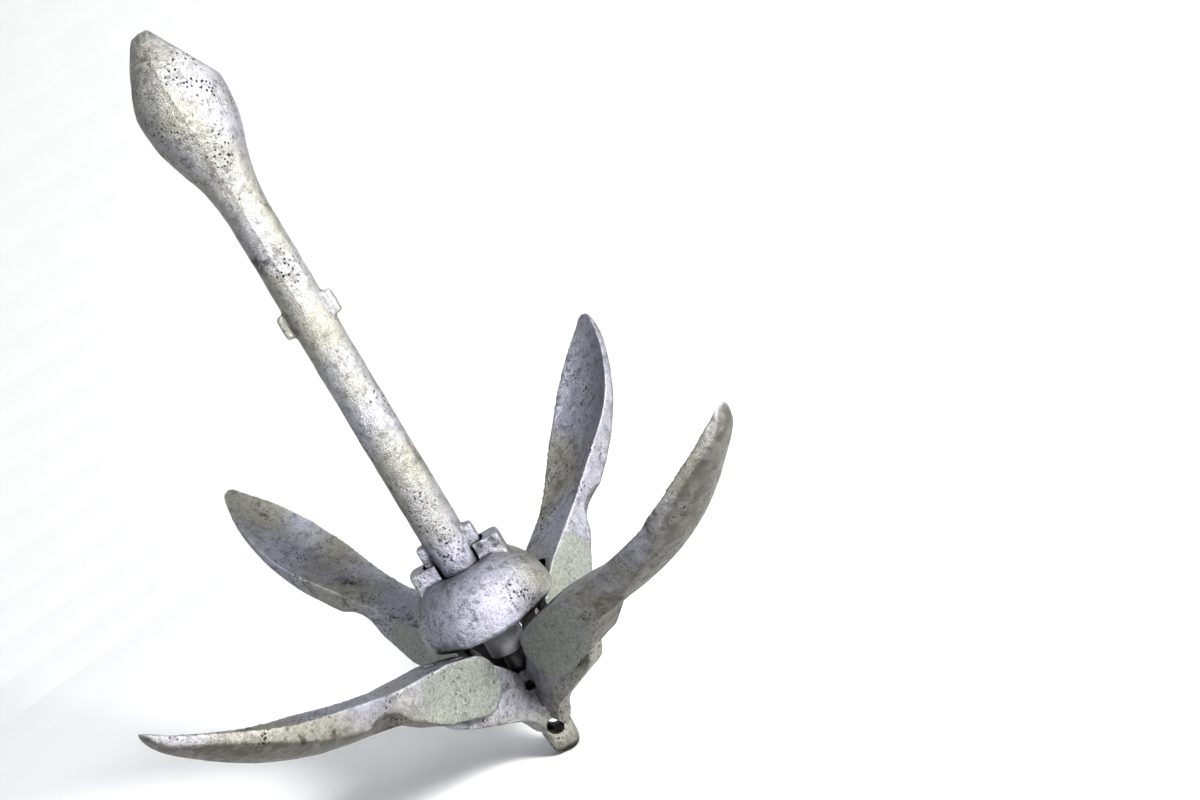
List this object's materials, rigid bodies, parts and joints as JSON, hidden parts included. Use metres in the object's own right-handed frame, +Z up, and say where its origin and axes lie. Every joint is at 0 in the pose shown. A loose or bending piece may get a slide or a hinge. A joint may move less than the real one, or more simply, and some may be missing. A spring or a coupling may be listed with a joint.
{
  "type": "folding grapnel anchor",
  "caption": "Folding grapnel anchor: an eyed shank with a sliding locking collar and spoon-shaped flukes hinged on a cast crown.",
  "frame": {"origin": "where the two trip-line holes cross in the crown's tail", "axes": "+Z up the shank towards the eye, +X along the bore of the eye and the lugs; the flukes stand at 45 degrees between X and Y"},
  "size_m": [0.2615, 0.2522, 0.3994],
  "materials": {
    "galvanised_iron": "hot-dip galvanised, satin and lightly pitted",
    "bright_steel": "turned and zinc plated"
  },
  "bodies": {
    "shank_and_crown": {"shank": "galvanised_iron", "spacer_ring": "bright_steel", "crown": "galvanised_iron", "cross_pin": "bright_steel", "hinge_pin_front_right": "bright_steel", "hinge_pin_front_left": "bright_steel", "hinge_pin_back_left": "bright_steel", "hinge_pin_back_right": "bright_steel"},
    "collar": {"locking_collar": "galvanised_iron"},
    "fluke_front_right": {"fluke_front_right": "galvanised_iron"},
    "fluke_front_left": {"fluke_front_left": "galvanised_iron"},
    "fluke_back_left": {"fluke_back_left": "galvanised_iron"},
    "fluke_back_right": {"fluke_back_right": "galvanised_iron"}
  },
  "joints": [
    {"name": "collar_slide", "type": "slide", "parent": "shank_and_crown", "child": "collar", "axis": [0, 0, 1], "range_m": [0, 0.16]},
    {"name": "fold_front_right", "type": "hinge", "parent": "shank_and_crown", "child": "fluke_front_right", "pos_m": [0.02581, -0.02581, 0.044], "axis": [-0.7071, -0.7071, 0], "range_deg": [0, 63.5]},
    {"name": "fold_front_left", "type": "hinge", "parent": "shank_and_crown", "child": "fluke_front_left", "pos_m": [-0.02581, -0.02581, 0.044], "axis": [-0.7071, 0.7071, 0], "range_deg": [0, 65]},
    {"name": "fold_back_left", "type": "hinge", "parent": "shank_and_crown", "child": "fluke_back_left", "pos_m": [-0.02581, 0.02581, 0.044], "axis": [0.7071, 0.7071, 0], "range_deg": [0, 48]},
    {"name": "fold_back_right", "type": "hinge", "parent": "shank_and_crown", "child": "fluke_back_right", "pos_m": [0.02581, 0.02581, 0.044], "axis": [0.7071, -0.7071, 0], "range_deg": [0, 55]}
  ],
  "couplings": [
    {"joint": "fold_front_right", "follows": "collar_slide", "rad_per_m": 6.9268},
    {"joint": "fold_front_left", "follows": "collar_slide", "rad_per_m": 7.0904},
    {"joint": "fold_back_left", "follows": "collar_slide", "rad_per_m": 5.236},
    {"joint": "fold_back_right", "follows": "collar_slide", "rad_per_m": 5.9996}
  ]
}
